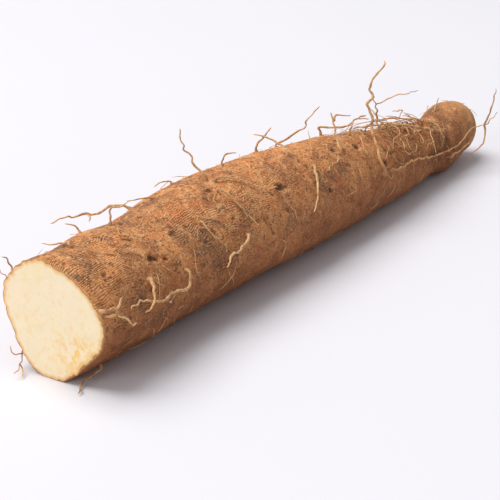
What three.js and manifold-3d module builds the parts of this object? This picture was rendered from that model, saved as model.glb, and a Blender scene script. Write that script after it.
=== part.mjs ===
// A long Chinese yam: one cut length of tuber lying on its belly, with its thin dried roots.
// Millimetres, +Z up. The origin is on the table under the middle of the tuber.
// +X runs from the flat cut end to the rounded crown end.
import * as THREE from 'three';
import { mergeVertices } from 'three/addons/utils/BufferGeometryUtils.js';
import Module from 'manifold-3d';

const wasm = await Module();
wasm.setup();

// ---- driving dimensions ----
const LENGTH = 465;         // cut end to the tip of the crown
const CROWN_LENGTH = 26;    // length over which the crown rounds off
const CUT_SKEW = 4;         // degrees the knife cut is off square
const CUT_FADE = 90;        // length over which that skew dies away
const SIDES = 40;           // flats around the tuber
const BODY_RINGS = 44;      // steps along the tuber
const CROWN_RINGS = 6;      // steps over the rounded crown
const NOSE_ANGLE = 84;      // degrees of the crown's quarter turn before its small blunt nose
const ROOT_SIDES = 5;       // flats around a root
const ROOT_STEP = 4.5;      // length of one straight step of a root
const GIRTH_RADIUS = 30;    // radius that turns degrees around into a length, for spacing a route

// Stations along the tuber: distance from the cut, sideways bend of the middle line,
// mean radius, lift of the underside over the table (below zero is the flattened belly).
const STATIONS = [
  [0, -3.2, 32.6, 1.3],
  [30, -1.9, 33.5, -0.4],
  [65, 0.0, 32.3, -1.0],
  [105, 1.6, 34.1, -1.0],
  [145, 2.0, 35.1, -1.0],
  [195, 0.6, 34.1, -1.0],
  [250, -1.0, 31.8, -0.8],
  [302, -2.1, 28.4, -0.6],
  [346, -3.2, 24.2, -0.4],
  [382, -3.6, 21.4, 0.9],
  [408, -2.8, 21.7, -3.4],
  [439, 0.0, 22.2, 1.4],
  [465, 0.0, 22.2, 1.4],
];

// How far the section is from round: distance from the cut, then the size (as a share of
// the radius) and direction in degrees of its two-, three- and four-sided swelling.
const SECTIONS = [
  [0, 0.022, 85, 0.059, 46, 0.030, 6],
  [60, 0.020, 70, 0.035, 50, 0.015, 10],
  [150, 0.030, 40, 0.020, 60, 0.008, 20],
  [250, 0.030, 30, 0.025, 90, 0.006, 30],
  [350, 0.025, 0, 0.030, 100, 0.006, 40],
  [430, 0.040, -20, 0.020, 110, 0.006, 40],
  [465, 0.040, -20, 0.020, 110, 0.006, 40],
];

// Broad lumps and hollows: distance from the cut, degrees around, height,
// spread along in millimetres, spread around in degrees.
const LUMPS = [
  [22, 60, -2.1, 14, 40],
  [50, 70, 0.5, 16, 45],
  [84, 250, 1.1, 50, 30],
  [232, 268, 2.2, 90, 30],
];

// Roots. Each is one grown piece: a main strand and any side strands that leave it.
// A strand's points are [distance from the cut, degrees around, height off the skin];
// 0 degrees is +Y, 90 is the top, 180 is the -Y flank.
const ROOTS = [
  { name: 'rim_root_high', radius: 0.6, strands: [
    [[7, 28, 1.2], [8, 33, 6], [5, 35, 10]]] },
  { name: 'rim_root_low', radius: 0.5, strands: [
    [[6, 12, 1.2], [7, 20, 5], [5, 25, 9]]] },
  { name: 'rim_root_cluster', radius: 0.5, strands: [
    [[7, 326, 1.2], [3, 312, 3.5], [-3, 304, 2], [-7, 300, 0.5], [-11, 298, 0.5]],
    [[3, 312, 3.5], [-1, 314, 3], [-4, 317, 1.5], [-5, 322, 0.5]],
    [[-3, 304, 2], [-6, 296, 0.5], [-9, 293, 0]]] },
  { name: 'foot_root', radius: 0.8, strands: [
    [[15, 235, 1.7], [11, 239, 2.7], [7, 241, 3.5], [3, 243, 4], [-3, 238, 7], [-7, 236, 8.5]]] },
  { name: 'shoulder_root', radius: 0.6, strands: [
    [[22, 84, 1.3], [24, 70, 1.5], [20, 62, 3], [17, 59, 5]]] },
  { name: 'flank_fork', radius: 0.85, strands: [
    [[2, 158, 1.5], [6, 160, 2], [10, 160, 3], [13, 158, 4], [15, 154, 6]],
    [[10, 160, 3], [9, 165, 3], [14, 172, 4], [16, 177, 5], [19, 176, 6]],
    [[9, 165, 3], [4, 164, 3], [0, 164, 3]]] },
  { name: 'flank_stub', radius: 0.9, strands: [
    [[43, 153, 1.6], [38, 160, 5.5], [32, 168, 8], [26, 173, 6.5]]] },
  { name: 'flank_runner', radius: 0.85, strands: [
    [[75, 162, 1.5], [71, 170, 4], [56, 171, 5], [37, 168, 5], [30, 165, 3], [21, 167, 1.7]],
    [[56, 171, 5], [50, 174, 6], [46, 174, 8]]] },
  { name: 'middle_flank_root', radius: 0.75, strands: [
    [[130, 163, 1.5], [121, 169, 3], [108, 171, 4], [101, 175, 6]]] },
  { name: 'tendril', radius: 0.8, strands: [
    [[93, 50, 1.5], [91, 47, 5], [87, 40, 9], [82, 34, 11], [78, 30, 16],
      [71, 27, 21], [67, 24, 24], [63, 21, 28]],
    [[78, 30, 16], [76, 33, 12], [72, 35, 9]]] },
  { name: 'ridge_loop', radius: 0.6, strands: [
    [[59, 76, 1.3], [61, 77, 5], [62, 77, 9], [65, 82, 9], [69, 86, 11]]] },
  { name: 'ridge_twig', radius: 0.5, strands: [
    [[44, 61, 1.2], [43, 60, 5], [41, 56, 8]]] },
  { name: 'ridge_spur', radius: 0.5, strands: [
    [[98, 72, 1.2], [94, 67, 2.5], [88, 58, 5]]] },
  { name: 'ridge_hook', radius: 0.6, strands: [
    [[121, 67, 1.3], [117, 62, 4], [115, 56, 3]]] },
  { name: 'ridge_needle', radius: 0.6, strands: [
    [[134, 92, 1.3], [132, 84, 8], [132, 80, 14], [131, 77, 18], [131, 76, 26], [132, 76, 30]]] },
  { name: 'ridge_curl', radius: 0.6, strands: [
    [[161, 78, 1.3], [162, 79, 5], [164, 81, 7], [168, 87, 7]]] },
  { name: 'middle_root_left', radius: 0.75, strands: [
    [[208, 100, 1.5], [209, 91, 4], [204, 80, 9], [200, 72, 12]]] },
  { name: 'middle_root_cross', radius: 0.65, strands: [
    [[205, 64, 1.4], [211, 71, 9], [215, 76, 14]]] },
  { name: 'zigzag_root', radius: 0.75, strands: [
    [[233, 52, 1.5], [243, 60, 4], [250, 67, 7], [254, 72, 8], [256, 74, 12], [258, 77, 15],
      [262, 82, 21]]] },
  { name: 'zigzag_partner', radius: 0.5, strands: [
    [[222, 115, 1.2], [233, 100, 3], [238, 92, 9]]] },
  { name: 'crown_left_root', radius: 0.9, strands: [
    [[250, 122, 1.6], [254, 107, 6], [256, 100, 15], [257, 96, 20]],
    [[256, 100, 15], [262, 97, 17], [268, 98, 17], [272, 104, 18]]] },
  { name: 'crown_strand', radius: 0.8, strands: [
    [[281, 58, 1.5], [280, 60, 7], [285, 70, 5], [291, 83, 5], [295, 89, 9], [302, 96, 13]]] },
  { name: 'crown_tall_root', radius: 1.1, strands: [
    [[286, 167, 1.8], [285, 145, 3], [290, 127, 5], [293, 112, 9], [295, 107, 16],
      [295, 100, 23], [298, 101, 28], [299, 98, 33], [303, 99, 45], [307, 101, 53]]] },
  { name: 'crown_fork_root', radius: 0.7, strands: [
    [[322, 96, 1.4], [318, 96, 8], [313, 96, 20], [311, 91, 30]],
    [[313, 96, 20], [317, 102, 25], [320, 106, 29], [323, 110, 33], [333, 115, 38]]] },
  { name: 'crown_loop_root', radius: 0.55, strands: [
    [[300, 100, 1.3], [305, 101, 9], [318, 103, 10], [330, 103, 11], [342, 103, 12],
      [343, 103, 15], [334, 104, 16.5], [326, 104, 17]]] },
  { name: 'tangle_low', radius: 0.5, strands: [
    [[323, 113, 1.2], [309, 109, 3], [300, 107, 3], [290, 105, 3.5], [281, 102, 2.5]]] },
  { name: 'tangle_high', radius: 0.6, strands: [
    [[284, 95, 1.3], [284, 97, 6], [287, 97, 11], [292, 99, 12], [299, 102, 12]]] },
  { name: 'tangle_twig', radius: 0.55, strands: [
    [[330, 98, 1.3], [320, 98, 8], [312, 99, 12.5], [306, 98, 17]]] },
  { name: 'neck_root', radius: 1.0, strands: [
    [[397, 135, 1.7], [383, 132, 2.2], [369, 123, 3], [353, 108, 4], [340, 105, 5],
      [307, 107, 8], [293, 106, 8], [284, 101, 6.5]]] },
  { name: 'neck_stub', radius: 0.6, strands: [
    [[426, 75, 1.3], [428, 79, 5], [430, 82, 8]]] },
  { name: 'crown_long_root', radius: 0.8, strands: [
    [[297, 166, 1.5], [316, 166, 2], [337, 163, 2], [359, 170, 2], [382, 175, 2],
      [404, 167, 3], [417, 160, 5], [422, 155, 10], [427, 157, 17], [431, 156, 22],
      [434, 153, 27]],
    [[427, 157, 17], [432, 145, 25], [436, 135, 34]],
    [[427, 157, 17], [425, 168, 17], [423, 175, 16], [417, 187, 9]]] },
  { name: 'crown_short_root', radius: 0.65, strands: [
    [[392, 186, 1.4], [402, 180, 2.2], [412, 177, 3.5], [423, 174, 6]]] },
  { name: 'pit_root', radius: 0.6, strands: [
    [[137, 98, 1.3], [147, 107, 1.5], [152, 116, 2], [157, 126, 2], [166, 132, 2],
      [174, 135, 1.3]]] },
  { name: 'shoulder_curl', radius: 0.6, strands: [
    [[52, 108, 1.3], [49, 104, 1.8], [54, 92, 1.4]]] },
  { name: 'flank_thread', radius: 0.5, strands: [
    [[101, 130, 1.2], [103, 147, 1.7], [110, 162, 1.3]]] },
  { name: 'long_flank_thread', radius: 0.6, strands: [
    [[130, 111, 1.3], [134, 130, 1.7], [136, 149, 1.7], [141, 160, 1.4]]] },
  { name: 'neck_thread', radius: 0.55, strands: [
    [[285, 111, 1.3], [277, 125, 2], [275, 138, 2.5], [279, 149, 1.4]],
    [[277, 125, 2], [280, 133, 2.5], [281, 142, 1.5]]] },
  { name: 'waist_thread', radius: 0.75, strands: [
    [[216, 126, 1.5], [212, 137, 2], [205, 152, 2.5], [192, 171, 3]]] },
  { name: 'waist_twig', radius: 0.6, strands: [
    [[243, 131, 1.3], [233, 134, 1.7], [222, 138, 2.5]]] },
  { name: 'collar_thread', radius: 0.5, strands: [
    [[325, 139, 1.2], [325, 148, 2], [331, 155, 2.2]]] },
  { name: 'fold_thread', radius: 0.5, strands: [
    [[334, 120, 1.2], [317, 128, 2], [310, 140, 1.5]]] },
];

const SKIN = new THREE.MeshStandardMaterial({ color: 0xb5865c, roughness: 0.85, metalness: 0 });
const ROOT = new THREE.MeshStandardMaterial({ color: 0xb98f66, roughness: 0.8, metalness: 0 });

// Smooth value of one column of a table at distance u, with slopes taken from its neighbours.
function smooth(table, u, column) {
  const last = table.length - 1;
  let i = 0;
  while (i < last - 1 && table[i + 1][0] <= u) i += 1;
  const slope = (k) => {
    const a = Math.max(k - 1, 0);
    const b = Math.min(k + 1, last);
    if (a === k || b === k) return (table[b][column] - table[a][column]) / (table[b][0] - table[a][0]);
    const back = table[k][0] - table[a][0];
    const ahead = table[b][0] - table[k][0];
    const backSlope = (table[k][column] - table[a][column]) / back;
    const aheadSlope = (table[b][column] - table[k][column]) / ahead;
    return (backSlope * ahead + aheadSlope * back) / (back + ahead);
  };
  const span = table[i + 1][0] - table[i][0];
  const t = (u - table[i][0]) / span;
  const t2 = t * t;
  const t3 = t2 * t;
  return (2 * t3 - 3 * t2 + 1) * table[i][column] + (t3 - 2 * t2 + t) * span * slope(i)
    + (3 * t2 - 2 * t3) * table[i + 1][column] + (t3 - t2) * span * slope(i + 1);
}

// Radius of the skin at distance u from the cut, th radians around.
function skinRadius(u, th) {
  let share = 1;
  for (const [lobes, size, turn] of [[2, 1, 2], [3, 3, 4], [4, 5, 6]]) {
    const direction = THREE.MathUtils.degToRad(smooth(SECTIONS, u, turn));
    share += smooth(SECTIONS, u, size) * Math.cos(lobes * (th - direction));
  }
  let radius = smooth(STATIONS, u, 2) * share;
  for (const [along, around, height, spreadAlong, spreadAround] of LUMPS) {
    const off = THREE.MathUtils.euclideanModulo(THREE.MathUtils.radToDeg(th) - around + 180, 360) - 180;
    radius += height * Math.exp(-(((u - along) / spreadAlong) ** 2) - (off / spreadAround) ** 2);
  }
  const crown = THREE.MathUtils.clamp((u - LENGTH + CROWN_LENGTH) / CROWN_LENGTH, 0, 1);
  return radius * Math.sqrt(1 - crown * crown);
}

// Point at distance u, th radians around, h off the skin; share 0 is the middle line.
function skinPoint(u, th, h, share = 1) {
  const along = THREE.MathUtils.clamp(u, 0, LENGTH - CROWN_LENGTH);
  const middleY = smooth(STATIONS, along, 1);
  const middleZ = smooth(STATIONS, along, 2) + smooth(STATIONS, along, 3);
  const radius = (skinRadius(Math.max(u, 0), th) + h) * share;
  const y = middleY + radius * Math.cos(th);
  const z = Math.max(middleZ + radius * Math.sin(th), 0);
  const fade = THREE.MathUtils.clamp(1 - u / CUT_FADE, 0, 1) ** 2;
  const x = u - LENGTH / 2 - y * Math.tan(THREE.MathUtils.degToRad(CUT_SKEW)) * fade;
  return new THREE.Vector3(x, y, z);
}

// Distance from the cut of ring k of the tuber.
function ringPlace(k) {
  if (k <= BODY_RINGS) return (LENGTH - CROWN_LENGTH) * (k / BODY_RINGS);
  const turn = THREE.MathUtils.degToRad(NOSE_ANGLE * (k - BODY_RINGS) / CROWN_RINGS);
  return LENGTH - CROWN_LENGTH + CROWN_LENGTH * Math.sin(turn);
}

// The tuber: a cylinder of flats whose every corner is moved onto the skin.
function tuberGeometry() {
  const rings = BODY_RINGS + CROWN_RINGS;
  const geometry = new THREE.CylinderGeometry(1, 1, 1, SIDES, rings);
  const position = geometry.attributes.position;
  const corner = new THREE.Vector3();
  for (let i = 0; i < position.count; i += 1) {
    corner.fromBufferAttribute(position, i);
    const u = ringPlace(Math.round((corner.y + 0.5) * rings));
    const share = Math.hypot(corner.x, corner.z) > 0.5 ? 1 : 0;
    const turn = Math.round(Math.atan2(corner.x, corner.z) * SIDES / (2 * Math.PI));
    const point = skinPoint(u, turn * 2 * Math.PI / SIDES, 0, share);
    position.setXYZ(i, point.x, point.y, point.z);
  }
  geometry.deleteAttribute('uv');
  geometry.deleteAttribute('normal');
  const closed = mergeVertices(geometry, 1e-4);
  closed.computeVertexNormals();
  return closed;
}

// A root's route, smooth between its points and measured from the skin.
class SkinRoute extends THREE.Curve {
  constructor(points) {
    super();
    const perDegree = GIRTH_RADIUS * Math.PI / 180;
    const spaced = points.map(([u, around, h]) => new THREE.Vector3(u, around * perDegree, h));
    this.line = new THREE.CatmullRomCurve3(spaced, false, 'centripetal');
  }

  getPoint(t, target = new THREE.Vector3()) {
    const place = this.line.getPoint(t);
    return target.copy(skinPoint(place.x, place.y / GIRTH_RADIUS, place.z));
  }
}

// One strand of a root as a closed solid.
function strandSolid(points, radius) {
  const route = new SkinRoute(points);
  const outline = new THREE.Shape();
  for (let i = 0; i < ROOT_SIDES; i += 1) {
    const turn = 2 * Math.PI * i / ROOT_SIDES;
    if (i === 0) outline.moveTo(radius, 0);
    else outline.lineTo(radius * Math.cos(turn), radius * Math.sin(turn));
  }
  const steps = Math.max(4, Math.round(route.getLength() / ROOT_STEP));
  const tube = new THREE.ExtrudeGeometry(outline, { steps, extrudePath: route, bevelEnabled: false });
  tube.deleteAttribute('uv');
  tube.deleteAttribute('normal');
  const merged = mergeVertices(tube, 1e-4);
  const mesh = new wasm.Mesh({
    numProp: 3,
    vertProperties: merged.attributes.position.array,
    triVerts: new Uint32Array(merged.index.array),
  });
  return new wasm.Manifold(mesh);
}

// A whole root: its strands grown together into one solid.
function rootGeometry({ radius, strands }) {
  const solid = strands.map((points) => strandSolid(points, radius)).reduce((a, b) => a.add(b));
  const mesh = solid.getMesh();
  const geometry = new THREE.BufferGeometry();
  geometry.setAttribute('position', new THREE.BufferAttribute(mesh.vertProperties, 3));
  geometry.setIndex(new THREE.BufferAttribute(mesh.triVerts, 1));
  geometry.computeVertexNormals();
  return geometry;
}

const yam = new THREE.Group();

const tuber = new THREE.Mesh(tuberGeometry(), SKIN);
tuber.name = 'tuber';
yam.add(tuber);

for (const root of ROOTS) {
  const mesh = new THREE.Mesh(rootGeometry(root), ROOT);
  mesh.name = root.name;
  yam.add(mesh);
}

export default yam;
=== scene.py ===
# %% [markdown]
# # A long Chinese yam
#
# A Chinese yam is a tuber as long as a forearm: a thin corky skin over white starchy flesh, with
# dry hair roots all along it. This one has a flat knife cut at one end and a round knob, the
# crown, at the other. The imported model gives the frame: metres, +Z up, the table at zero, and +X
# running from the cut to the crown. Everything below is built in that frame, where it belongs.

# %% Load the frame
import math

import bpy
import numpy as np
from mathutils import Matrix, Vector


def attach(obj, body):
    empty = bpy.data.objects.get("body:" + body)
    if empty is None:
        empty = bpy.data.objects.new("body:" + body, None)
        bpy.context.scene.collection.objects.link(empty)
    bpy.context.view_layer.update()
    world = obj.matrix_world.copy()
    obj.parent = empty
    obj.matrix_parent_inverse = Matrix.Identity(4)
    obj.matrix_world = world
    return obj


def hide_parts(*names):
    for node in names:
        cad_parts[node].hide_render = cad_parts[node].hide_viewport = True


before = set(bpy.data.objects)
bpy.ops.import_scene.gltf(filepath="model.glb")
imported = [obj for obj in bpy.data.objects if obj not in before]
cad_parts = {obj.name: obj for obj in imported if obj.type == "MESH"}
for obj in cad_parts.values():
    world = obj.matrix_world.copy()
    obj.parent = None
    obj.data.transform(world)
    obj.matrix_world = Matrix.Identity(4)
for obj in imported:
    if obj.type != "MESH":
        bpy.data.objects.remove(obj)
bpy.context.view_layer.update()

# %% [markdown]
# ## The shape of the tuber
#
# A tuber has no flat sides to start from, so a box with modifiers would be a poor beginning.
# It is a stack of nearly round slices along a gently bent middle line. Two short tables hold
# it: where the slices sit and how thick they are, and how far each is from round. A smooth
# curve through each column gives every slice in between.

# %% Stations and sections
MM = 0.001
LENGTH = 465.0        # cut end to the tip of the crown, millimetres
CROWN = 26.0          # length over which the crown rounds off
CUT_SKEW = 4.0        # degrees the knife cut is off square
CUT_FADE = 90.0       # length over which that skew dies away
# distance from the cut, sideways bend, mean radius, lift of the underside over the table
STATIONS = np.array([
    [0, -3.2, 32.6, 1.3], [30, -1.9, 33.5, -0.4], [65, 0.0, 32.3, -1.0],
    [105, 1.6, 34.1, -1.0], [145, 2.0, 35.1, -1.0], [195, 0.6, 34.1, -1.0],
    [250, -1.0, 31.8, -0.8], [302, -2.1, 28.4, -0.6], [346, -3.2, 24.2, -0.4],
    [382, -3.6, 21.4, 0.9], [408, -2.8, 21.7, -3.4], [439, 0.0, 22.2, 1.4],
    [465, 0.0, 22.2, 1.4]])
# distance from the cut, then size and direction of the two-, three- and four-sided swelling
SECTIONS = np.array([
    [0, 0.022, 85, 0.059, 46, 0.030, 6], [60, 0.020, 70, 0.035, 50, 0.015, 10],
    [150, 0.030, 40, 0.020, 60, 0.008, 20], [250, 0.030, 30, 0.025, 90, 0.006, 30],
    [350, 0.025, 0, 0.030, 100, 0.006, 40], [430, 0.040, -20, 0.020, 110, 0.006, 40],
    [465, 0.040, -20, 0.020, 110, 0.006, 40]])
# broad lumps: distance from the cut, degrees around, height, spread along, spread around
LUMPS = [[22, 60, -2.1, 14, 40], [50, 70, 0.5, 16, 45], [84, 250, 1.1, 50, 30],
         [232, 268, 2.2, 90, 30]]


def smooth(table, u, column):
    """Cubic curve through one column of a table, its slopes taken from the neighbouring rows."""
    xs, ys = table[:, 0], table[:, column]
    slope = np.gradient(ys, xs)
    i = np.clip(np.searchsorted(xs, u, side="right") - 1, 0, len(xs) - 2)
    span = xs[i + 1] - xs[i]
    t = (u - xs[i]) / span
    return ((2 * t**3 - 3 * t**2 + 1) * ys[i] + (t**3 - 2 * t**2 + t) * span * slope[i]
            + (3 * t**2 - 2 * t**3) * ys[i + 1] + (t**3 - t**2) * span * slope[i + 1])


def skin_radius(u, th):
    """Mean radius times one plus three cosines around, plus the lumps; a quarter ellipse
    closes it over the crown."""
    share = 1.0
    for lobes, size, turn in ((2, 1, 2), (3, 3, 4), (4, 5, 6)):
        share = share + smooth(SECTIONS, u, size) * np.cos(
            lobes * (th - np.radians(smooth(SECTIONS, u, turn))))
    r = smooth(STATIONS, u, 2) * share
    for along, around, height, wide_along, wide_around in LUMPS:
        off = (np.degrees(th) - around + 180) % 360 - 180
        r = r + height * np.exp(-((u - along) / wide_along)**2 - (off / wide_around)**2)
    return r * np.sqrt(1 - np.clip((u - LENGTH + CROWN) / CROWN, 0, 1)**2)


def skin_point(u, th, h, share=1.0):
    """The point at distance u from the cut, angle th around and height h off the skin, in
    millimetres: a circle of that radius round the bent middle line, never below the table."""
    along = np.clip(u, 0, LENGTH - CROWN)
    r = (skin_radius(np.maximum(u, 0), th) + h) * share
    y = smooth(STATIONS, along, 1) + r * np.cos(th)
    z = smooth(STATIONS, along, 2) + smooth(STATIONS, along, 3) + r * np.sin(th)
    skew = math.tan(math.radians(CUT_SKEW)) * np.clip(1 - u / CUT_FADE, 0, 1)**2
    return np.stack([u - LENGTH / 2 - y * skew, y, np.maximum(z, 0)], -1)


u_line = np.linspace(0, LENGTH, 94)
print("thickness every 50 mm:", (2 * smooth(STATIONS, u_line[::10], 2)).round(1))

# %% [markdown]
# ## Relief of the skin
#
# The skin is never smooth: it swells and dips over a few centimetres, carries long fine wrinkles
# that swirl like wood grain, and has a pit wherever a root broke away. A bump texture would only
# darken the surface, and its edge would stay a clean line. So the larger relief moves real
# vertices, and only what is finer than a millimetre is left to the shader. The random part is a
# lattice noise: fixed random values at whole-number corners, blended smoothly in between.

# %% Lattice noise
def lattice(p, seed):
    """Random value at each whole-number corner of space, blended with 3t^2 - 2t^3, -1 to 1."""
    base = np.floor(p).astype(np.int64)
    t = p - base
    t = t * t * (3 - 2 * t)

    def corner(dx, dy, dz):
        n = ((base[..., 0] + dx) * 374761393 + (base[..., 1] + dy) * 668265263
             + (base[..., 2] + dz) * 2147483647 + seed * 974634777) & 0xFFFFFFFF
        n = ((n ^ (n >> 13)) * 1274126177) & 0xFFFFFFFF
        n = ((n ^ (n >> 16)) * 2246822519) & 0xFFFFFFFF
        return ((n ^ (n >> 15)) & 0xFFFF) / 32767.5 - 1

    def along_x(dy, dz):
        return corner(0, dy, dz) * (1 - t[..., 0]) + corner(1, dy, dz) * t[..., 0]

    def along_y(dz):
        return along_x(0, dz) * (1 - t[..., 1]) + along_x(1, dz) * t[..., 1]

    return along_y(0) * (1 - t[..., 2]) + along_y(1) * t[..., 2]


def ripple(p, size, octaves, seed):
    """Lattice noise at one size plus halves of it at half the size, and so on."""
    total, weight = 0.0, 1.0
    for k in range(octaves):
        total = total + weight * lattice(p / size * 2**k + 17.3 * k, seed + k)
        weight *= 0.5
    return total / (2 - 2 * weight)


sample = ripple(skin_point(u_line, np.full(94, 2.0), 0.0), 12.0, 3, 5)
print("noise along one line, lowest and highest:", sample.min().round(2), sample.max().round(2))

# %% [markdown]
# ## Pits and scars
#
# Where a root has dropped off it leaves a small dark pit with a raised lip. The larger ones are
# listed one by one, a few dozen small ones are scattered with a fixed seed. Each is a bowl with a
# rim around it: a bell curve going down, and a wider, lower bell curve going up.

# %% Pits
# distance from the cut, degrees around, radius, depth
PITS = [[18, 132, 1.3, 0.7], [55, 136, 2.2, 1.7], [58, 139, 1.6, 1.2], [65, 142, 1.5, 1.3],
        [127, 104, 2.4, 1.2], [122, 107, 1.6, 0.7], [126, 143, 1.3, 0.8], [176, 135, 2.4, 1.9],
        [181, 137, 1.6, 1.0], [221, 159, 2.0, 1.2], [249, 114, 2.2, 1.2], [274, 120, 2.4, 1.4],
        [294, 154, 2.6, 1.8], [309, 143, 2.0, 1.4], [98, 150, 1.3, 0.8], [84, 118, 1.4, 0.6]]
rng = np.random.default_rng(7)
scattered = np.stack([rng.uniform(12, 450, 90), rng.uniform(0, 360, 90),
                      rng.uniform(0.7, 1.5, 90), rng.uniform(0.25, 0.8, 90)], 1)
pits = np.concatenate([np.array(PITS), scattered])
pit_at = skin_point(pits[:, 0], np.radians(pits[:, 1]), 0.0)


def pit_relief(p):
    """Height and darkness that the pits give at points p: minus a bell plus a wider bell."""
    height, dark = np.zeros(p.shape[:-1]), np.zeros(p.shape[:-1])
    for (_, _, size, deep), at in zip(pits, pit_at):
        near = np.abs(p[..., 0] - at[0]) < size * 5
        d = np.linalg.norm((p[near] - at) * [0.75, 1, 1], axis=-1) / size
        d = d * (1 + 0.35 * lattice(p[near] / size, 91))
        height[near] += deep * (-np.exp(-d**2) + 0.35 * np.exp(-((d - 1.6) / 0.7)**2))
        dark[near] = np.maximum(dark[near], np.exp(-(d / 0.95)**3) * min(1, 0.25 + 0.45 * deep))
    return height, dark


print("pits:", len(pits), "deepest:", pits[:, 3].max(), "mm")

# %% [markdown]
# ## The tuber's surface
#
# One grid covers the skin: rows of slices along the tuber, closer together by the cut, where the
# grain is coarse and seen near. The wrinkles are a cosine around the girth, so they close on
# themselves, pushed sideways by a slow noise so that they swirl and fork.

# %% Skin grid
AROUND = 300
BODY_ROWS = 296
CROWN_ROWS = 14


def relief(p, u, th):
    """Swellings + swirling wrinkles (cosine of the angle, pushed by noise) + grain + pits."""
    lumps = 0.85 * ripple(p, 30, 2, 11) + 0.50 * ripple(p, 11, 2, 21)
    push = 16.0 * ripple(p * [0.6, 1, 1], 26, 2, 31) + 2.0 * lattice(p / [9, 4.5, 4.5], 37)
    patch = np.clip(0.5 + 1.3 * ripple(p, 34, 2, 41), 0.12, 1)
    folds = 0.045 * patch * np.cos(96 * th + push)
    cross = 0.17 * patch * ripple(p * [0.6, 1, 1], 3.4, 2, 51)
    grain = 0.11 * ripple(p, 2.0, 1, 61)
    neck = -1.5 * np.exp(-((u - 405 - 26 * np.cos(th - 0.7)) / 6.0)**2)
    deep, dark = pit_relief(p)
    return lumps + folds + cross + grain + neck + deep, dark, patch


s = np.linspace(0, 1, BODY_ROWS)
rows_u = (LENGTH - CROWN) * (0.60 * s + 0.40 * s**2)
quarter = np.radians(np.linspace(0, 90, CROWN_ROWS + 2)[1:-1])
rows_u = np.concatenate([rows_u, LENGTH - CROWN + CROWN * np.sin(quarter)])
turn = np.radians(-90) + np.linspace(0, 2 * np.pi, AROUND, endpoint=False)
grid_u, grid_th = np.meshgrid(rows_u, turn, indexing="ij")
smooth_skin = skin_point(grid_u, grid_th, 0.0)
height, dark, patch = relief(smooth_skin, grid_u, grid_th)
fade_crown = np.sqrt(np.clip((LENGTH - grid_u) / 14, 0, 1))
torn = np.exp(-grid_u / 1.1) * (0.6 + 1.3 * ripple(smooth_skin, 3.0, 2, 71)
                                + 0.9 * ripple(smooth_skin, 9, 1, 72))
skin = skin_point(grid_u, grid_th, height * fade_crown - torn)
print("skin grid:", skin.shape[:2], "relief from", height.min().round(2), "to",
      height.max().round(2), "mm")

# %% [markdown]
# ## The cut face and closing the ends
#
# The knife leaves a flat face with faint strokes in it. It shares its outer ring of vertices with
# the skin, so the body stays one closed piece. The rings shrink towards the middle line, close
# together near the rim, where the thin skin shows as a brown line. At the crown, one last vertex
# closes the dome.

# %% Cut face grid
ring_share = np.array([0.992, 0.978, 0.955, 0.92, 0.87, 0.8, 0.7, 0.56, 0.4, 0.2])
rim = skin[0]
middle = skin_point(np.array(0.0), np.array(0.0), 0.0, share=0.0)
flesh = middle + (rim - middle) * ring_share[:, None, None]
strokes = 0.10 * np.cos((flesh[..., 1] * 0.42 + flesh[..., 2] * 0.9) / 1.9
                        + 2.0 * ripple(flesh, 16, 1, 81)) * (1 - ring_share[:, None]**6)
flesh[..., 0] += strokes + 0.16 * ripple(flesh, 7, 2, 83)
tip = skin_point(np.array(LENGTH), np.array(0.0), 0.0)
print("cut face:", np.ptp(rim[:, 1]).round(1), "by", np.ptp(rim[:, 2]).round(1), "mm")


# %% Mesh helpers
def quads(rows, columns, first=0):
    """Corner numbers of every square in a grid of rows whose columns close round."""
    r, c = np.meshgrid(np.arange(rows - 1), np.arange(columns), indexing="ij")
    n = (c + 1) % columns
    return first + np.stack([r * columns + c, r * columns + n,
                             (r + 1) * columns + n, (r + 1) * columns + c], -1).reshape(-1, 4)


def fans(ring, centre):
    """Triangles from a closed ring of corner numbers to one centre."""
    return np.stack([ring, np.roll(ring, -1), np.full(len(ring), centre)], -1)


def make_mesh(name, points_mm, fours, threes):
    """A mesh from points in millimetres, squares and triangles, shaded smooth."""
    mesh = bpy.data.meshes.new(name)
    mesh.from_pydata((points_mm * MM).tolist(), [], fours.tolist() + threes.tolist())
    mesh.polygons.foreach_set("use_smooth", np.ones(len(mesh.polygons), bool))
    mesh.update()
    piece = bpy.data.objects.new(name, mesh)
    bpy.context.scene.collection.objects.link(piece)
    return piece


def add_values(piece, name, values):
    """One number for every vertex, which a material can read by its name."""
    layer = piece.data.attributes.new(name, "FLOAT", "POINT")
    layer.data.foreach_set("value", values.astype(np.float32).ravel())


# %% Build the tuber
rows = len(rows_u)
skin_count = rows * AROUND
face_count = len(ring_share) * AROUND
points = np.concatenate([skin.reshape(-1, 3), flesh.reshape(-1, 3), middle[None], tip[None]])
skin_quads = quads(rows, AROUND)
rim_numbers = np.arange(AROUND)
first_ring = skin_count + np.arange(AROUND)
join = np.stack([np.roll(rim_numbers, -1), rim_numbers, first_ring, np.roll(first_ring, -1)], -1)
face_quads = quads(len(ring_share), AROUND, skin_count)[:, ::-1]
last_ring = skin_count + face_count - AROUND + np.arange(AROUND)
face_fan = fans(last_ring, skin_count + face_count)[:, ::-1]
top_ring = skin_count - AROUND + np.arange(AROUND)
crown_fan = fans(top_ring, skin_count + face_count + 1)
tuber = make_mesh("tuber_skin_and_flesh", points, np.concatenate([skin_quads, join, face_quads]),
                  np.concatenate([face_fan, crown_fan]))
tris = 2 * (len(skin_quads) + len(join) + len(face_quads)) + len(face_fan) + len(crown_fan)
print("tuber triangles:", tris)

# %% [markdown]
# ## Numbers for the materials
#
# Colour that follows the shape, such as the dark of a pit or the yellow ring under the skin,
# needs to know where it is. Each vertex carries a few numbers for that: how dark a pit is, how
# strongly the grain shows, how far it is from the cut and how far inside the rim. A UV map holds
# the length along and the length around, so that a shader grain can run along the tuber.

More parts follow.
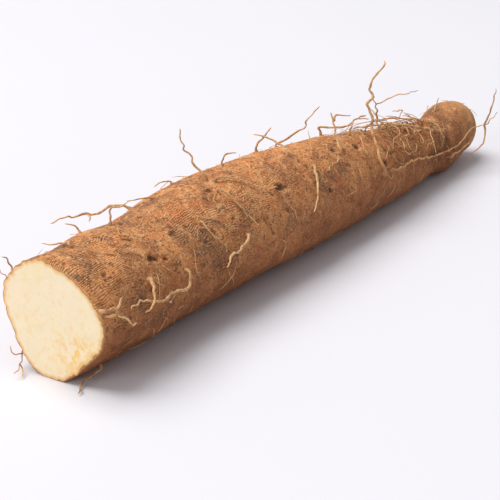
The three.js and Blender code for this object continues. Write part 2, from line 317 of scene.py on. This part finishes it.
# %% Vertex numbers and UV map
zeros = np.zeros(face_count + 2)
inside = ((1 - ring_share[:, None]) * np.linalg.norm(rim - middle, axis=-1)).ravel()
add_values(tuber, "pit", np.concatenate([dark.ravel(), zeros]))
add_values(tuber, "grain", np.concatenate([patch.ravel(), zeros]))
add_values(tuber, "from_cut", np.concatenate([grid_u.ravel(), zeros[:-1], [LENGTH]]))
add_values(tuber, "inside_rim", np.concatenate([np.zeros(skin_count), inside, [32.0, 0.0]]))
# hollow: how far the skin dips below its smooth shape, used to paint shade into the hollows
add_values(tuber, "hollow", np.concatenate([(-height).ravel(), zeros]))

corners = np.zeros(len(tuber.data.loops), np.int64)
tuber.data.loops.foreach_get("vertex_index", corners)
along = np.concatenate([grid_u.ravel(), zeros])[corners]
column = np.concatenate([np.tile(np.arange(AROUND), rows), np.zeros(face_count + 2)])[corners]
starts = np.zeros(len(tuber.data.polygons), np.int64)
tuber.data.polygons.foreach_get("loop_start", starts)
sizes = np.diff(np.append(starts, len(corners)))
highest = np.repeat(np.maximum.reduceat(column, starts), sizes)
column = np.where((highest - column) > AROUND / 2, column + AROUND, column)
uv = np.stack([along / 100, column / AROUND * 2.1], -1)
tuber.data.uv_layers.new(name="grain_map").data.foreach_set("uv", uv.astype(np.float32).ravel())
print("UV map spans", uv.min(0).round(2), "to", uv.max(0).round(2), "in decimetres")

# %% [markdown]
# ## Roots
#
# Each dried root is a thin, kinked, slightly flattened string that tapers and ends in a point.
# A plain bevelled curve would keep one thickness and one roundness. Here a root is a profile
# carried along a path: the path is given in skin measures, so it leaves the skin where it
# should, and every ring of the profile has its own size. At its foot it swells and sinks into
# the skin, as a real root grows out of it.

# %% Root routes
# name: radius, then its strands; a point is distance from the cut, degrees around, height
ROOTS = {
    "rim_root_high": (0.6, [
        [[7, 28, 1.2], [8, 33, 6], [5, 35, 10]]]),
    "rim_root_low": (0.5, [
        [[6, 12, 1.2], [7, 20, 5], [5, 25, 9]]]),
    "rim_root_cluster": (0.5, [
        [[7, 326, 1.2], [3, 312, 3.5], [-3, 304, 2], [-7, 300, 0.5], [-11, 298, 0.5]],
        [[3, 312, 3.5], [-1, 314, 3], [-4, 317, 1.5], [-5, 322, 0.5]],
        [[-3, 304, 2], [-6, 296, 0.5], [-9, 293, 0]]]),
    "foot_root": (0.8, [
        [[15, 235, 1.7], [11, 239, 2.7], [7, 241, 3.5], [3, 243, 4], [-3, 238, 7], [-7, 236, 8.5]]]),
    "shoulder_root": (0.6, [
        [[22, 84, 1.3], [24, 70, 1.5], [20, 62, 3], [17, 59, 5]]]),
    "flank_fork": (0.85, [
        [[2, 158, 1.5], [6, 160, 2], [10, 160, 3], [13, 158, 4], [15, 154, 6]],
        [[10, 160, 3], [9, 165, 3], [14, 172, 4], [16, 177, 5], [19, 176, 6]],
        [[9, 165, 3], [4, 164, 3], [0, 164, 3]]]),
    "flank_stub": (0.9, [
        [[43, 153, 1.6], [38, 160, 5.5], [32, 168, 8], [26, 173, 6.5]]]),
    "flank_runner": (0.85, [
        [[75, 162, 1.5], [71, 170, 4], [56, 171, 5], [37, 168, 5], [30, 165, 3], [21, 167, 1.7]],
        [[56, 171, 5], [50, 174, 6], [46, 174, 8]]]),
    "middle_flank_root": (0.75, [
        [[130, 163, 1.5], [121, 169, 3], [108, 171, 4], [101, 175, 6]]]),
    "tendril": (0.8, [
        [[93, 50, 1.5], [91, 47, 5], [87, 40, 9], [82, 34, 11], [78, 30, 16], [71, 27, 21], [67, 24, 24], [63, 21, 28]],
        [[78, 30, 16], [76, 33, 12], [72, 35, 9]]]),
    "ridge_loop": (0.6, [
        [[59, 76, 1.3], [61, 77, 5], [62, 77, 9], [65, 82, 9], [69, 86, 11]]]),
    "ridge_twig": (0.5, [
        [[44, 61, 1.2], [43, 60, 5], [41, 56, 8]]]),
    "ridge_spur": (0.5, [
        [[98, 72, 1.2], [94, 67, 2.5], [88, 58, 5]]]),
    "ridge_hook": (0.6, [
        [[121, 67, 1.3], [117, 62, 4], [115, 56, 3]]]),
    "ridge_needle": (0.6, [
        [[134, 92, 1.3], [132, 84, 8], [132, 80, 14], [131, 77, 18], [131, 76, 26], [132, 76, 30]]]),
    "ridge_curl": (0.6, [
        [[161, 78, 1.3], [162, 79, 5], [164, 81, 7], [168, 87, 7]]]),
    "middle_root_left": (0.75, [
        [[208, 100, 1.5], [209, 91, 4], [204, 80, 9], [200, 72, 12]]]),
    "middle_root_cross": (0.65, [
        [[205, 64, 1.4], [211, 71, 9], [215, 76, 14]]]),
    "zigzag_root": (0.75, [
        [[233, 52, 1.5], [243, 60, 4], [250, 67, 7], [254, 72, 8], [256, 74, 12], [258, 77, 15], [262, 82, 21]]]),
    "zigzag_partner": (0.5, [
        [[222, 115, 1.2], [233, 100, 3], [238, 92, 9]]]),
    "crown_left_root": (0.9, [
        [[250, 122, 1.6], [254, 107, 6], [256, 100, 15], [257, 96, 20]],
        [[256, 100, 15], [262, 97, 17], [268, 98, 17], [272, 104, 18]]]),
    "crown_strand": (0.8, [
        [[281, 58, 1.5], [280, 60, 7], [285, 70, 5], [291, 83, 5], [295, 89, 9], [302, 96, 13]]]),
    "crown_tall_root": (1.1, [
        [[286, 167, 1.8], [285, 145, 3], [290, 127, 5], [293, 112, 9], [295, 107, 16], [295, 100, 23], [298, 101, 28], [299, 98, 33], [303, 99, 45], [307, 101, 53]]]),
    "crown_fork_root": (0.7, [
        [[322, 96, 1.4], [318, 96, 8], [313, 96, 20], [311, 91, 30]],
        [[313, 96, 20], [317, 102, 25], [320, 106, 29], [323, 110, 33], [333, 115, 38]]]),
    "crown_loop_root": (0.55, [
        [[300, 100, 1.3], [305, 101, 9], [318, 103, 10], [330, 103, 11], [342, 103, 12], [343, 103, 15], [334, 104, 16.5], [326, 104, 17]]]),
    "tangle_low": (0.5, [
        [[323, 113, 1.2], [309, 109, 3], [300, 107, 3], [290, 105, 3.5], [281, 102, 2.5]]]),
    "tangle_high": (0.6, [
        [[284, 95, 1.3], [284, 97, 6], [287, 97, 11], [292, 99, 12], [299, 102, 12]]]),
    "tangle_twig": (0.55, [
        [[330, 98, 1.3], [320, 98, 8], [312, 99, 12.5], [306, 98, 17]]]),
    "neck_root": (1.0, [
        [[397, 135, 1.7], [383, 132, 2.2], [369, 123, 3], [353, 108, 4], [340, 105, 5], [307, 107, 8], [293, 106, 8], [284, 101, 6.5]]]),
    "neck_stub": (0.6, [
        [[426, 75, 1.3], [428, 79, 5], [430, 82, 8]]]),
    "crown_long_root": (0.8, [
        [[297, 166, 1.5], [316, 166, 2], [337, 163, 2], [359, 170, 2], [382, 175, 2], [404, 167, 3], [417, 160, 5], [422, 155, 10], [427, 157, 17], [431, 156, 22], [434, 153, 27]],
        [[427, 157, 17], [432, 145, 25], [436, 135, 34]],
        [[427, 157, 17], [425, 168, 17], [423, 175, 16], [417, 187, 9]]]),
    "crown_short_root": (0.65, [
        [[392, 186, 1.4], [402, 180, 2.2], [412, 177, 3.5], [423, 174, 6]]]),
    "pit_root": (0.6, [
        [[137, 98, 1.3], [147, 107, 1.5], [152, 116, 2], [157, 126, 2], [166, 132, 2], [174, 135, 1.3]]]),
    "shoulder_curl": (0.6, [
        [[52, 108, 1.3], [49, 104, 1.8], [54, 92, 1.4]]]),
    "flank_thread": (0.5, [
        [[101, 130, 1.2], [103, 147, 1.7], [110, 162, 1.3]]]),
    "long_flank_thread": (0.6, [
        [[130, 111, 1.3], [134, 130, 1.7], [136, 149, 1.7], [141, 160, 1.4]]]),
    "neck_thread": (0.55, [
        [[285, 111, 1.3], [277, 125, 2], [275, 138, 2.5], [279, 149, 1.4]],
        [[277, 125, 2], [280, 133, 2.5], [281, 142, 1.5]]]),
    "waist_thread": (0.75, [
        [[216, 126, 1.5], [212, 137, 2], [205, 152, 2.5], [192, 171, 3]]]),
    "waist_twig": (0.6, [
        [[243, 131, 1.3], [233, 134, 1.7], [222, 138, 2.5]]]),
    "collar_thread": (0.5, [
        [[325, 139, 1.2], [325, 148, 2], [331, 155, 2.2]]]),
    "fold_thread": (0.5, [
        [[334, 120, 1.2], [317, 128, 2], [310, 140, 1.5]]]),
}
print("roots:", len(ROOTS), "strands:", sum(len(s) for _, s in ROOTS.values()))

# %% Root builder
GIRTH = 30.0          # radius that turns an angle into a length, for spacing a route


def route_points(route, step, seed, wobble=0.35):
    """Cubic curve through the route's points in (along, around, height), even steps apart,
    with a small lattice noise added sideways; then raised by the skin's own relief."""
    knots = np.array(route, float)
    knots[:, 1] = np.radians(knots[:, 1]) * GIRTH
    gaps = np.linalg.norm(np.diff(knots, axis=0), axis=1)
    table = np.concatenate([np.concatenate([[0], np.cumsum(gaps)])[:, None], knots], 1)
    length = table[-1, 0]
    count = max(5, int(length / step) + 1)
    at = np.linspace(0, length, count)
    u, around, h = (smooth(table, at, k) for k in (1, 2, 3))
    probe = np.stack([at / 2.6, np.full(count, seed * 3.7), np.zeros(count)], -1)
    loose = wobble * np.clip(at / 3, 0, 1)
    u = u + loose * lattice(probe, seed)
    th = (around + loose * lattice(probe + 40, seed)) / GIRTH
    low = skin_point(u, th, 0.0)
    lift = relief(low, u, th)[0] * np.exp(-np.maximum(h, 0) / 6)
    p = skin_point(u, th, h + lift)
    p[:, 2] = np.maximum(p[:, 2], 1.0)
    return p, at, length


def root_strand(route, radius, seed, sides=8, step=1.0, from_skin=True, tip=0.36, wobble=0.75):
    """Rings of an ellipse carried along the route. Radius = base to tip share by the square
    root of what is left of the length, times knobbly noise, plus a bell-shaped foot."""
    route = [list(k) for k in route]
    if from_skin:
        route = [[route[0][0], route[0][1], -0.8]] + route
    p, at, length = route_points(route, step, seed, wobble)
    tangent = np.gradient(p, axis=0)
    tangent /= np.linalg.norm(tangent, axis=1)[:, None]
    side = np.linalg.svd(p - p.mean(0), full_matrices=False)[2][2]
    across = np.cross(tangent, side)
    across /= np.linalg.norm(across, axis=1)[:, None] + 1e-9
    up = np.cross(tangent, across)
    left = 1 - at / length
    r = radius * (tip + (1 - tip) * np.sqrt(left))
    probe = np.stack([at / 1.9, np.full(len(at), seed * 1.3), np.zeros(len(at))], -1)
    r = r * (1 + 0.22 * lattice(probe, seed + 5))
    if from_skin:
        r = r + radius * 0.9 * np.exp(-(at / (1.6 * radius + 0.6))**2)
    r[-1] *= 0.35
    spin = np.linspace(0, 2 * np.pi, sides, endpoint=False)
    ring = (across[:, None] * np.cos(spin)[:, None] + 0.8 * up[:, None] * np.sin(spin)[:, None])
    rings = p[:, None] + ring * r[:, None, None]
    points = np.concatenate([rings.reshape(-1, 3), p[:1], p[-1:] + tangent[-1:] * r[-1]])
    count = len(p) * sides
    fours = quads(len(p), sides)
    threes = np.concatenate([fans(np.arange(sides), count)[:, ::-1],
                             fans(np.arange(count - sides, count), count + 1)])
    share = np.concatenate([np.repeat(at / length, sides), [0, 1]])
    return points, fours, threes, share


def join_strands(name, strands):
    """Several strands as one mesh: corner numbers of each are moved on by those before it."""
    points, fours, threes, shares, first = [], [], [], [], 0
    for p, f, t, share in strands:
        points.append(p)
        fours.append(f + first)
        threes.append(t + first)
        shares.append(share)
        first += len(p)
    piece = make_mesh(name, np.concatenate(points), np.concatenate(fours),
                      np.concatenate(threes))
    add_values(piece, "out_along", np.concatenate(shares))
    return piece


# %% Build the roots
roots = []
for number, (name, (radius, strands)) in enumerate(ROOTS.items()):
    built = [root_strand(route, radius * (1.1 if k == 0 else 0.88), 10 * number + k,
                         from_skin=(k == 0)) for k, route in enumerate(strands)]
    piece = join_strands(name + "_fine", built)
    add_values(piece, "tone", np.full(len(piece.data.vertices), (number * 0.37) % 1.0))
    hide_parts(name)
    roots.append(piece)
print("root pieces:", len(roots), "triangles:",
      sum(len(t.data.loops) - 2 * len(t.data.polygons) for t in roots))

# %% [markdown]
# ## Fine hairs
#
# Between the roots the skin carries hundreds of short threads, too thin to be pieces of the solid
# model. They make the outline fuzzy. They are strands of the same builder with five sides, most
# of them lying along the skin, a few standing off it, and more of them near the crown.

# %% Scatter the hairs
rng = np.random.default_rng(23)


def hair_route(reach, rise, along, sides, aim):
    """A start on the skin, then three points that walk off in one direction and rise."""
    u, around = rng.uniform(*along), rng.uniform(*sides)
    head, reach, rise = rng.uniform(*aim), rng.uniform(*reach), rng.uniform(*rise)
    bend = rng.uniform(-0.9, 0.9, 3)
    steps = np.cumsum([[math.cos(head + b), math.sin(head + b)] for b in bend], axis=0) / 3
    return [[u, around, 0.0]] + [
        [min(max(u + reach * a, 2), 458), around + math.degrees(reach * b / GIRTH), rise * k]
        for k, (a, b) in zip((0.45, 0.8, 1.0), steps)]


# how many, thickness, reach, rise, along, around, direction, corners of the profile, step, wobble
HAIR_KINDS = [(150, (0.16, 0.34), (6, 18), (0.6, 3.5), (6, 455), (-60, 240), (0, 6.28), 5, 1.8, 0.6),
              (420, (0.10, 0.20), (1.2, 5), (0.3, 1.2), (6, 435), (-60, 240), (0, 6.28), 4, 1.0, 0.2),
              (60, (0.20, 0.42), (8, 24), (0.8, 6.0), (290, 400), (35, 150), (0, 6.28), 5, 1.6, 0.9),
              (30, (0.32, 0.62), (16, 40), (3, 12), (335, 396), (80, 122), (2.3, 4.0), 6, 1.6, 1.2)]
hairs = [root_strand(hair_route(reach, rise, along, around, aim), rng.uniform(*thick),
                     1000 * kind + k, sides=corners, step=step, wobble=wobble)
         for kind, (count, thick, reach, rise, along, around, aim, corners, step, wobble)
         in enumerate(HAIR_KINDS) for k in range(count)]
hair = join_strands("fine_hairs", hairs)
hair_at = np.zeros(3 * len(hair.data.vertices))
hair.data.vertices.foreach_get("co", hair_at)
add_values(hair, "tone", lattice(hair_at.reshape(-1, 3) * 60, 3) / 2 + 0.5)
print("hairs:", len(hairs), "triangles:", len(hair.data.loops) - 2 * len(hair.data.polygons))

# %% [markdown]
# ## Materials
#
# A material here is a few layers laid over each other: a base colour in broad blotches, then
# stains, then the grain, then specks, each mixed in by its own pattern. The patterns are read
# from the object's own coordinates, so they stay on the skin whichever way it is seen.

# %% Node helpers
def add(tree, kind, settings=None, **inputs):
    """A node with its settings; an input is a number, a colour or another node's output."""
    made = tree.nodes.new(kind)
    for key, value in (settings or {}).items():
        setattr(made, key, value)
    for key, value in inputs.items():
        socket = made.inputs[int(key[1:])] if key[0] == "i" and key[1:].isdigit() \
            else made.inputs[key.replace("_", " ")]
        if isinstance(value, bpy.types.NodeSocket):
            tree.links.new(value, socket)
        else:
            socket.default_value = value
    return made


def noise(tree, where, size_mm, detail=3.0, rough=0.55, twist=0.0):
    """Cloudy pattern, 0 to 1, whose blots are about size_mm across."""
    return add(tree, "ShaderNodeTexNoise", Vector=where, Scale=1000 / size_mm, Detail=detail,
               Roughness=rough, Distortion=twist).outputs["Fac"]


def ramp(tree, value, low, high, to_low=0.0, to_high=1.0):
    """Value stretched so that low becomes to_low and high becomes to_high, and held there."""
    return add(tree, "ShaderNodeMapRange", {"clamp": True, "interpolation_type": "SMOOTHSTEP"},
               Value=value, From_Min=low, From_Max=high, To_Min=to_low,
               To_Max=to_high).outputs[0]


def maths(tree, operation, a, b=0.0):
    return add(tree, "ShaderNodeMath", {"operation": operation}, i0=a, i1=b).outputs[0]


def blend(tree, share, a, b):
    """Colour a laid over by colour b where share is 1."""
    made = add(tree, "ShaderNodeMix", {"data_type": "RGBA"}, i0=share)
    for number, value in ((6, a), (7, b)):
        if isinstance(value, bpy.types.NodeSocket):
            tree.links.new(value, made.inputs[number])
        else:
            made.inputs[number].default_value = (*value, 1)
    return made.outputs[2]


def value_of(tree, name):
    return add(tree, "ShaderNodeAttribute", {"attribute_name": name}).outputs["Fac"]


def new_material(name):
    made = bpy.data.materials.new(name)
    made.use_nodes = True
    tree = made.node_tree
    tree.nodes.clear()
    shader = add(tree, "ShaderNodeBsdfPrincipled")
    out = add(tree, "ShaderNodeOutputMaterial")
    tree.links.new(shader.outputs[0], out.inputs[0])
    where = add(tree, "ShaderNodeTexCoord").outputs["Object"]
    return made, tree, shader, where


# %% [markdown]
# ### Skin
#
# Dry cork: matt, orange tan where it is fresh, browner where it has rubbed, with grey stains of
# dried soil. The fine grain is a sine of the girth, pushed sideways by cloudy noise, like wood
# grain. Its crests are painted paler, a painted highlight, and its valleys darker, painted shade,
# so one pattern drives both the colour and the bump. Painted shade also darkens the hollows of the
# relief and the skin towards the table, and painted light brightens the crown.

# %% Skin material
skin_finish, tree, shader, where = new_material("dry_yam_skin")
map_uv = add(tree, "ShaderNodeUVMap", {"uv_map": "grain_map"}).outputs[0]
parts = add(tree, "ShaderNodeSeparateXYZ", Vector=map_uv)
push = maths(tree, "MULTIPLY", noise(tree, where, 26, 2.0, 0.5), 60.0)
push_fine = maths(tree, "MULTIPLY", noise(tree, where, 5.0, 2.0, 0.5), 11.0)
waves = maths(tree, "MULTIPLY", parts.outputs[1], 2 * math.pi * 100 / 1.3)
waves = maths(tree, "SINE", maths(tree, "ADD", maths(tree, "ADD", waves, push), push_fine))
grain_share = maths(tree, "MULTIPLY", value_of(tree, "grain"),
                    ramp(tree, noise(tree, where, 6, 3.0), 0.38, 0.62, 0.1, 1.0))
grain = maths(tree, "MULTIPLY", waves, grain_share)
speck = noise(tree, where, 1.3, 3.0, 0.65)
cloud = noise(tree, where, 24, 4.0, 0.6, 0.4)
mottle = noise(tree, where, 7, 4.0, 0.65)
stain = noise(tree, add(tree, "ShaderNodeMapping", Vector=where,
                        Location=(3.1, 1.7, 0.4)).outputs[0], 17, 4.0, 0.6, 0.8)
rust = noise(tree, add(tree, "ShaderNodeMapping", Vector=where,
                       Location=(7.3, 2.2, 5.4)).outputs[0], 13, 4.0, 0.6, 0.5)
tone = blend(tree, ramp(tree, cloud, 0.36, 0.64), (0.74, 0.305, 0.105), (0.43, 0.158, 0.056))
tone = blend(tree, ramp(tree, mottle, 0.42, 0.68, 0.0, 0.7), tone, (0.84, 0.430, 0.185))
tone = blend(tree, ramp(tree, stain, 0.50, 0.68, 0.0, 0.72), tone, (0.200, 0.110, 0.066))
tone = blend(tree, ramp(tree, rust, 0.54, 0.70, 0.0, 0.65), tone, (0.60, 0.165, 0.048))
# painted highlight on the grain's crests, then painted shade in its valleys
tone = blend(tree, ramp(tree, grain, 0.1, 0.8, 0.0, 0.20), tone, (0.86, 0.52, 0.27))
tone = blend(tree, ramp(tree, grain, -0.1, -0.8, 0.0, 0.36), tone, (0.21, 0.088, 0.036))
tone = blend(tree, ramp(tree, speck, 0.52, 0.66, 0.0, 0.80), tone, (0.17, 0.078, 0.036))
tone = blend(tree, ramp(tree, speck, 0.46, 0.32, 0.0, 0.60), tone, (0.92, 0.57, 0.33))
scab = noise(tree, where, 4.5, 2.0, 0.6, 0.4)
tone = blend(tree, ramp(tree, scab, 0.59, 0.68, 0.0, 0.75), tone, (0.15, 0.070, 0.034))
# painted shade: the skin is painted darker and redder towards the table, for the shade on its lower flank
height = add(tree, "ShaderNodeSeparateXYZ", Vector=where).outputs[2]
tone = blend(tree, ramp(tree, height, 0.064, 0.012, 0.0, 0.70), tone, (0.235, 0.078, 0.030))
# painted light: the skin is painted lighter towards the crown
tone = blend(tree, ramp(tree, value_of(tree, "from_cut"), 412, 455, 0.0, 0.45), tone,
             (0.90, 0.50, 0.22))
# painted shade: the skin is painted darker where it dips into a hollow
tone = blend(tree, ramp(tree, value_of(tree, "hollow"), 0.2, 1.3, 0.0, 0.5), tone,
             (0.19, 0.09, 0.045))
tone = blend(tree, ramp(tree, value_of(tree, "pit"), 0.1, 0.9, 0.0, 0.85), tone,
             (0.105, 0.050, 0.027))
tone = blend(tree, ramp(tree, value_of(tree, "from_cut"), 1.6, 0.2, 0.0, 0.6), tone,
             (0.66, 0.36, 0.14))
tree.links.new(tone, shader.inputs["Base Color"])
tree.links.new(ramp(tree, mottle, 0.3, 0.7, 0.72, 0.9), shader.inputs["Roughness"])
shader.inputs["Specular IOR Level"].default_value = 0.16
bumps = maths(tree, "ADD", maths(tree, "MULTIPLY", grain, 0.45), maths(tree, "MULTIPLY", speck, 0.9))
bumps = maths(tree, "ADD", bumps, maths(tree, "MULTIPLY", noise(tree, where, 3.2, 3.0), 0.9))
bump = add(tree, "ShaderNodeBump", Strength=0.9, Distance=0.0008, Height=bumps)
tree.links.new(bump.outputs[0], shader.inputs["Normal"])
print("skin nodes:", len(tree.nodes))

# %% [markdown]
# ### Cut flesh
#
# Fresh flesh is cream, wet with starchy juice and a little see-through, so light goes in and
# softens it. It yellows in flecks, turns orange in patches under the skin and ends in a thin
# brown line, the skin seen edge on.

# %% Flesh material
flesh_finish, tree, shader, where = new_material("cut_yam_flesh")
rim_gap = value_of(tree, "inside_rim")
ragged = maths(tree, "ADD", rim_gap, maths(tree, "MULTIPLY", noise(tree, where, 3.5, 3.0), 2.0))
fleck = noise(tree, add(tree, "ShaderNodeMapping", Vector=where,
                        Scale=(1.0, 0.8, 0.6)).outputs[0], 2.3, 4.0, 0.62, 0.5)
veil = noise(tree, where, 12, 3.0)
patch_at = add(tree, "ShaderNodeVectorMath", {"operation": "DISTANCE"}, i0=where,
               i1=(-0.231, -0.019, 0.016)).outputs["Value"]
tone = blend(tree, ramp(tree, veil, 0.4, 0.7, 0.0, 0.6), (0.91, 0.765, 0.53),
             (0.90, 0.73, 0.43))
tone = blend(tree, ramp(tree, fleck, 0.50, 0.7, 0.0, 0.6), tone, (0.89, 0.67, 0.31))
orange = maths(tree, "MULTIPLY", ramp(tree, patch_at, 0.022, 0.004), ramp(tree, fleck, 0.40, 0.62))
tone = blend(tree, maths(tree, "MULTIPLY", orange, 0.85), tone, (0.92, 0.57, 0.15))
tone = blend(tree, ramp(tree, ragged, 4.2, 1.5, 0.0, 0.9), tone, (0.80, 0.47, 0.15))
tone = blend(tree, ramp(tree, ragged, 1.8, 1.2), tone, (0.42, 0.20, 0.07))
tree.links.new(tone, shader.inputs["Base Color"])
tree.links.new(ramp(tree, veil, 0.35, 0.65, 0.32, 0.5), shader.inputs["Roughness"])
shader.inputs["Subsurface Weight"].default_value = 0.35
shader.inputs["Subsurface Radius"].default_value = (1.0, 0.7, 0.35)
shader.inputs["Subsurface Scale"].default_value = 0.003
shader.inputs["Coat Weight"].default_value = 0.15
shader.inputs["Coat Roughness"].default_value = 0.35
bump = add(tree, "ShaderNodeBump", Strength=0.35, Distance=0.0005,
           Height=maths(tree, "ADD", fleck, noise(tree, where, 1.1, 2.0)))
tree.links.new(bump.outputs[0], shader.inputs["Normal"])
tuber.data.materials.append(skin_finish)
tuber.data.materials.append(flesh_finish)
kinds = np.zeros(len(tuber.data.polygons), np.int32)
on_face = len(skin_quads) + np.arange(len(join) + len(face_quads) + len(face_fan))
kinds[on_face] = 1
tuber.data.polygons.foreach_set("material_index", kinds)
print("flesh nodes:", len(tree.nodes), "faces of flesh:", int(kinds.sum()))

# %% [markdown]
# ### Dried root
#
# The roots are stringy and dry: tan to straw, browner and redder at the foot, with fine rings of
# dark where soil has caught.

# %% Root material
root_finish, tree, shader, where = new_material("dried_root")
out_along = value_of(tree, "out_along")
pick = value_of(tree, "tone")
tone = blend(tree, pick, (0.66, 0.36, 0.148), (0.80, 0.50, 0.245))
tone = blend(tree, ramp(tree, noise(tree, where, 6, 3.0), 0.45, 0.68, 0.0, 0.7), tone,
             (0.31, 0.145, 0.062))
tone = blend(tree, ramp(tree, out_along, 0.25, 0.0, 0.0, 0.6), tone, (0.33, 0.145, 0.058))
tone = blend(tree, ramp(tree, noise(tree, where, 1.1, 2.0), 0.56, 0.7, 0.0, 0.7), tone,
             (0.14, 0.07, 0.035))
tree.links.new(tone, shader.inputs["Base Color"])
shader.inputs["Roughness"].default_value = 0.7
shader.inputs["Specular IOR Level"].default_value = 0.35
bump = add(tree, "ShaderNodeBump", Strength=0.6, Distance=0.0002,
           Height=noise(tree, where, 0.7, 3.0))
tree.links.new(bump.outputs[0], shader.inputs["Normal"])
for piece in [*roots, hair]:
    piece.data.materials.append(root_finish)
print("root nodes:", len(tree.nodes))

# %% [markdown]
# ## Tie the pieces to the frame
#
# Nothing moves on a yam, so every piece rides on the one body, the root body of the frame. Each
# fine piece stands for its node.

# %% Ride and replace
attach(tuber, "root")
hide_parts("tuber")
for piece in [*roots, hair]:
    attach(piece, "root")
print("pieces riding:", 2 + len(roots))

# %% [markdown]
# ## Floor, light and camera
#
# A plain pale floor, a large soft lamp high on the left and behind, and a bright pale sky that
# fills the shadows. The camera stands a little above the cut end and looks along the tuber, so
# that the cut is large and the crown small.

# %% Floor
floor_mesh = bpy.data.meshes.new("floor")
floor_mesh.from_pydata([(-6, -6, 0), (6, -6, 0), (6, 6, 0), (-6, 6, 0)], [], [(0, 1, 2, 3)])
floor = bpy.data.objects.new("floor", floor_mesh)
bpy.context.scene.collection.objects.link(floor)
floor_finish, tree, shader, where = new_material("pale_floor")
tree.links.new(blend(tree, noise(tree, where, 400, 1.0), (0.735, 0.722, 0.755), (0.755, 0.742, 0.775)),
               shader.inputs["Base Color"])
shader.inputs["Roughness"].default_value = 0.9
floor_mesh.materials.append(floor_finish)

# %% Light
world = bpy.data.worlds.new("soft_studio")
world.use_nodes = True
world.node_tree.nodes["Background"].inputs[0].default_value = (0.97, 0.97, 1.0, 1)
world.node_tree.nodes["Background"].inputs[1].default_value = 0.39
bpy.context.scene.world = world


def soft_lamp(name, at, aim, size, watts, colour=(1, 1, 1)):
    """A square lamp of that size at a place, turned to face the point aim."""
    lamp = bpy.data.lights.new(name, "AREA")
    lamp.size, lamp.energy, lamp.color = size, watts, colour
    made = bpy.data.objects.new(name, lamp)
    made.location = at
    made.rotation_euler = (Vector(aim) - Vector(at)).to_track_quat("-Z", "Y").to_euler()
    bpy.context.scene.collection.objects.link(made)
    return made


soft_lamp("key_lamp", (-0.9, 2.5, 5.4), (0, 0, 0.03), 4.4, 385.0)
soft_lamp("front_fill", (-2.4, 0.3, 0.9), (-0.1, 0, 0.03), 1.4, 15.0)

# %% Camera
camera = bpy.data.objects.new("camera", bpy.data.cameras.new("camera"))
camera.data.lens = 85
camera.data.sensor_width = 36
camera.data.clip_start, camera.data.clip_end = 0.01, 50
camera.location = (-0.6052, -0.3952, 0.2984)
camera.rotation_euler = (math.radians(90 - 23.02), 0, math.radians(-54.24))
bpy.context.scene.collection.objects.link(camera)
bpy.context.scene.camera = camera
bpy.context.scene.view_settings.view_transform = "Standard"
print("camera looks down", 23.02, "degrees")
